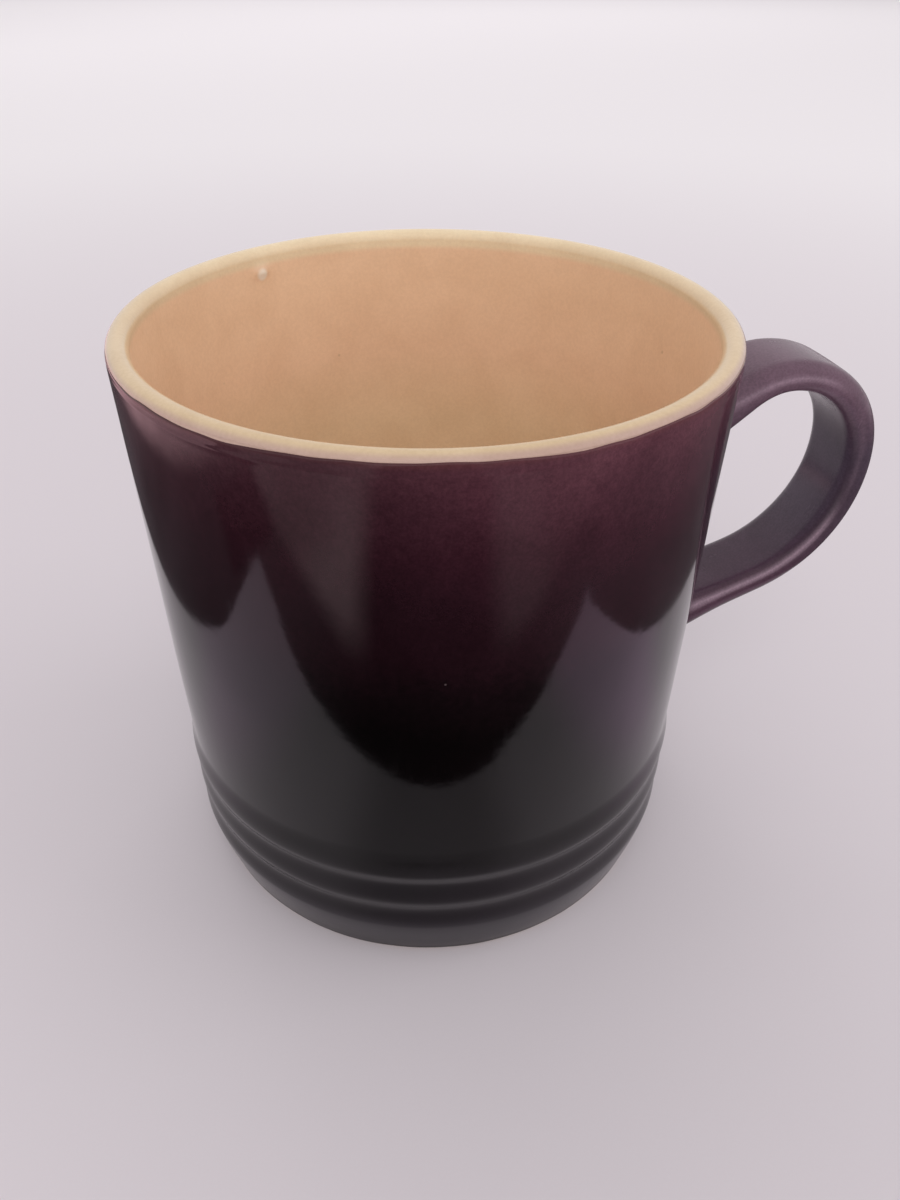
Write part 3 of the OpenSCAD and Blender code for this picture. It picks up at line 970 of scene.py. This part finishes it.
def strap_mesh():
    """The glazed strap: swept along its line, flaring and filleted into the wall at both roots."""
    line = smoothed(strap_line())
    seg = np.linalg.norm(np.diff(line, axis=0), axis=1)
    s_line = np.concatenate([[0], np.cumsum(seg)])
    total = s_line[-1]
    slope = np.gradient(line, axis=0)
    slope /= np.linalg.norm(slope, axis=1)[:, None]
    plain_section, sec_normal, turn = strap_section()
    inner_face = smoothstep((-turn - INNER_TURN) / INNER_EASE)
    count = len(plain_section)

    def at(s):
        """Centre points and tangents at distances s; straight beyond the ends."""
        s = np.asarray(s, float)
        inside = np.clip(s, 0, total)
        c = np.stack([np.interp(inside, s_line, line[:, i]) for i in range(2)], -1)
        t = np.stack([np.interp(inside, s_line, slope[:, i]) for i in range(2)], -1)
        t /= np.linalg.norm(t, axis=-1, keepdims=True)
        c = c + t * (s - inside)[..., None]
        return c, t

    def place(s, across, outwards):
        """Points off the centre line at distances s, with its tangents and outward normals there."""
        c, t = at(s)
        n = np.stack([-t[..., 1], t[..., 0]], -1)
        p = c + n * outwards[..., None]
        return np.stack([p[..., 0], across, p[..., 1]], -1), t, n

    def wall_distance(root_s, sign, across, outwards):
        """How far along the strap, from root_s, each edge line meets the wall."""
        low, high = np.full(count, -WALL_SEARCH), np.full(count, WALL_SEARCH)
        for _ in range(HALVINGS):
            mid = (low + high) / 2
            p, _, _ = place(root_s + sign * mid, across, outwards)
            out = np.hypot(p[:, 0], p[:, 1]) > wall_r(p[:, 2])
            high = np.where(out, mid, high)
            low = np.where(out, low, mid)
        return (low + high) / 2

    fillet_angles = np.radians([90, 78, 66, 54, 42, 30, 18, 8])
    fillet_d = FILLET_R * (1 - np.sin(fillet_angles))
    near = np.concatenate([fillet_d, np.arange(FILLET_R, ROOT_BLEND, ROOT_STATION_GAP)])
    # stations are given by their distance from the wall at the roots, and along the line between
    stations = [("up", -ROOT_SUNK)] + [("up", d) for d in near]
    stations += [("mid", s) for s in np.arange(ROOT_BLEND, total - ROOT_BLEND, STATION_GAP)]
    stations += [("low", d) for d in near[::-1]] + [("low", -ROOT_SUNK)]

    rows, crests = [], []
    for kind, d in stations:
        run = d if kind != "low" else total - d
        arms = smoothstep((BEND_FROM - run) / BEND_EASE) + smoothstep((run - BEND_TO) / BEND_EASE)
        strength = CREST_BEND + (1 - CREST_BEND) * arms
        lowered = smoothstep((run - CREST_TURNS_FROM) / CREST_TURNS_OVER)
        aim = CREST_TURN_UPPER + (CREST_TURN_LOWER - CREST_TURN_UPPER) * lowered
        crests.append(strength * np.exp(-(((turn - aim) / CREST_SPREAD) ** 2)))
        section = plain_section + CREST_RISE * crests[-1][:, None] * sec_normal
        from_wall = d if kind != "mid" else min(d, total - d)
        grow = math.exp(-((max(from_wall, 0) / FLARE_REACH) ** 1.5))
        across = section[:, 0] * (1 + FLARE_WIDE * grow / (STRAP_W / 2))
        inner = section[:, 1] < 0
        upper_arm = kind == "up" or (kind == "mid" and d < total / 2)
        flare_in = FLARE_IN_UPPER if upper_arm else FLARE_IN_LOWER
        outwards = section[:, 1] * np.where(inner, 1 + flare_in * grow / (STRAP_T / 2), 1.0)
        if kind == "mid":
            p, _, _ = place(np.full(count, d), across, outwards)
            rows.append(p)
            continue
        # at a root each edge line is measured from where it meets the wall
        root_s, sign = (0.0, 1) if kind == "up" else (total, -1)
        hit = wall_distance(root_s, sign, across, outwards)
        blend = 1 - smoothstep(max(d, 0) / ROOT_BLEND)
        p, t, n = place(root_s + sign * (d + hit * blend), across, outwards)
        if d < FILLET_R:
            fall = FILLET_R - max(d, 0)
            off = FILLET_R - math.sqrt(max(FILLET_R**2 - fall**2, 0))
            t3 = np.stack([t[:, 0], 0 * t[:, 0], t[:, 1]], -1)
            n3 = np.stack([n[:, 0], 0 * n[:, 0], n[:, 1]], -1)
            side = np.array([0.0, 1.0, 0.0])
            out3 = sec_normal[:, :1] * side + sec_normal[:, 1:] * n3
            radial = np.stack([p[:, 0], p[:, 1], 0 * p[:, 0]], -1)
            radial /= np.linalg.norm(radial, axis=1)[:, None]
            lean = (out3 * radial).sum(1) / (t3 * radial).sum(1)
            p = p + off * (out3 - lean[:, None] * t3)
        rows.append(p)
    verts = np.concatenate(rows)
    faces = []
    for i in range(len(rows) - 1):
        for j in range(count):
            k = (j + 1) % count
            faces.append([i * count + j, i * count + k, (i + 1) * count + k, (i + 1) * count + j])
    for start in (0, (len(rows) - 1) * count):
        centre = len(verts)
        verts = np.vstack([verts, verts[start:start + count].mean(0)])
        faces += [[start + j, start + (j + 1) % count, centre] for j in range(count)]
    marks = {
        "crest": np.append(np.concatenate(crests), [0, 0]).astype(np.float32),
        "inner": np.append(np.tile(inner_face, len(rows)), [0, 0]).astype(np.float32),
    }
    return verts, faces, marks


*strap, strap_marks = strap_mesh()
make_object("strap_coat", *strap, ["handle_glaze"], "handle_glaze", strap_glaze_mat, marks=strap_marks)

hidden_clay = {"handle_strap": clay_mat, "upper_luting_slip": slip_mat, "lower_luting_slip": slip_mat}
for name, material in hidden_clay.items():
    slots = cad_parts[name].data.materials
    slots.clear()
    slots.append(material)


# ---------------------------------------------------------------- stage, lights and camera
def turned(x, y, z):
    """A point given with the view straight ahead along +Y, turned into the mug's own frame."""
    c, s = math.cos(HANDLE_TURN), math.sin(HANDLE_TURN)
    return Vector((x * c + y * s, -x * s + y * c, z)) * MM


def stage_mesh(name, points, material, only_reflections=False):
    """A flat face through points in mm that belongs to the stage, not to the object."""
    mesh = bpy.data.meshes.new(name)
    mesh.from_pydata([tuple(Vector(p) * MM) for p in points], [], [list(range(len(points)))])
    mesh.materials.append(material)
    obj = bpy.data.objects.new(name, mesh)
    bpy.context.scene.collection.objects.link(obj)
    if only_reflections:
        obj.visible_camera = False
        obj.visible_diffuse = False
        obj.visible_shadow = False
        obj.visible_transmission = False
        obj.visible_volume_scatter = False
    return obj


FLOOR_R = 7000.0
STAGE_Z = -0.02
TABLE_HALF = 500
TABLE_Z = 0.05

rim_angles = np.linspace(0, 2 * math.pi, 65)[:-1]
floor_rim = [(FLOOR_R * math.cos(a), FLOOR_R * math.sin(a), STAGE_Z) for a in rim_angles]
stage_mesh("floor", floor_rim, paper("pale_floor"))

# In reflections the pale ground under the mug is a sheet with edges, lying on a darker table.
corners = [(-1, -1), (1, -1), (1, 1), (-1, 1)]
table_corners = [(TABLE_HALF * x, TABLE_HALF * y, TABLE_Z) for x, y in corners]
table_top = stage_mesh("reflected_table", table_corners, table("table_top"), only_reflections=True)
table_top.rotation_euler = (0, 0, -HANDLE_TURN)


def area_light(name, place, target, width, height, power, colour=(1, 1, 1)):
    """A soft light at place, in mm as the view has it, that shows in no reflection."""
    data = bpy.data.lights.new(name, "AREA")
    data.shape = "RECTANGLE"
    data.size, data.size_y = width * MM, height * MM
    data.energy = power
    data.color = colour
    obj = bpy.data.objects.new(name, data)
    obj.location = turned(*place)
    direction = turned(*target) - obj.location
    obj.rotation_mode = "QUATERNION"
    obj.rotation_quaternion = direction.to_track_quat("-Z", "Y")
    bpy.context.scene.collection.objects.link(obj)
    obj.visible_glossy = False


# Each has a name, place, aim, width, height, power in watts and, unless it is white, a colour.
area_light("window_far", (0, 2600, 1700), (0, 900, 0), 3000, 1500, 17.0, (1.0, 0.99, 1.0))
area_light("window_back_left", (-900, 1300, 1100), (0, 0, 0), 1000, 900, 1.7)
area_light("window_right", (1400, 0, 1000), (0, 0, 0), 1000, 900, 3.3)
area_light("room_front", (0, -1200, 1200), (0, 0, 0), 1000, 900, 6.4, (1.0, 0.98, 0.98))

world = bpy.data.worlds.new("soft_room")
world.use_nodes = True
bpy.context.scene.world = world
sky = world.node_tree.nodes["Background"]
sky.inputs["Color"].default_value = (1.0, 0.975, 0.99, 1.0)
room = world.node_tree


def room_node(kind, inputs=(), **settings):
    """A node of the world's tree with its inputs linked or set in order."""
    node = room.nodes.new(kind)
    for key, value in settings.items():
        setattr(node, key, value)
    for socket, value in zip(node.inputs, inputs):
        if isinstance(value, bpy.types.NodeSocket):
            room.links.new(value, socket)
        else:
            socket.default_value = value
    return node


# The room is even for soft light. In reflections it is brighter low down behind the mug.
SOFT_LEVEL = 0.63
MIRRORED_LEVEL = 0.54
GLOW_BEHIND = (0.0, 0.8, 0.0, 1.0)
GLOW_HEIGHT = (0.30, 0.85, 0.20, 0.0)

way = room_node("ShaderNodeTexCoord").outputs["Generated"]
height = room_node("ShaderNodeSeparateXYZ", (way,)).outputs["Z"]
backwards = turned(0, 1, 0).normalized()
behind = room_node("ShaderNodeVectorMath", (way, backwards), operation="DOT_PRODUCT").outputs["Value"]
eased = {"interpolation_type": "SMOOTHSTEP"}
glow = room_node("ShaderNodeMapRange", (behind, *GLOW_BEHIND), **eased).outputs[0]
fall = room_node("ShaderNodeMapRange", (height, *GLOW_HEIGHT), **eased).outputs[0]
extra = room_node("ShaderNodeMath", (glow, fall), operation="MULTIPLY").outputs[0]
mirrored = room_node("ShaderNodeMath", (extra, MIRRORED_LEVEL), operation="ADD").outputs[0]
ray = room_node("ShaderNodeLightPath").outputs["Is Glossy Ray"]
level = room_node("ShaderNodeMapRange", (ray, 0.0, 1.0, SOFT_LEVEL, mirrored)).outputs[0]
room.links.new(level, sky.inputs["Strength"])

# The view: its place in mm and its aim, given as if it looked along +Y. The focal length is a share
# of the film's long side.
EYE_BACK = 133.27
EYE_UP = 136.82
PITCH, YAW, ROLL = (math.radians(a) for a in (35.471, 1.557, 0.339))
FOCAL_SHARE = 0.7741
FILM = 36.0

cam_data = bpy.data.cameras.new("camera")
camera = bpy.data.objects.new("camera", cam_data)
bpy.context.scene.collection.objects.link(camera)
bpy.context.scene.camera = camera
level_x, level_y = math.sin(YAW), math.cos(YAW)
ahead = turned(level_x * math.cos(PITCH), level_y * math.cos(PITCH), -math.sin(PITCH)).normalized()
right = ahead.cross(Vector((0, 0, 1))).normalized()
up = right.cross(ahead)
right_r = right * math.cos(ROLL) + up * math.sin(ROLL)
up_r = up * math.cos(ROLL) - right * math.sin(ROLL)
basis = Matrix((right_r, up_r, -ahead)).transposed().to_4x4()
camera.matrix_world = Matrix.Translation(turned(0, -EYE_BACK, EYE_UP)) @ basis
cam_data.sensor_fit = "AUTO"
cam_data.sensor_width = FILM
cam_data.lens = FILM * FOCAL_SHARE
cam_data.clip_start = 0.005
cam_data.clip_end = 30.0

bpy.context.scene.view_settings.view_transform = "Standard"
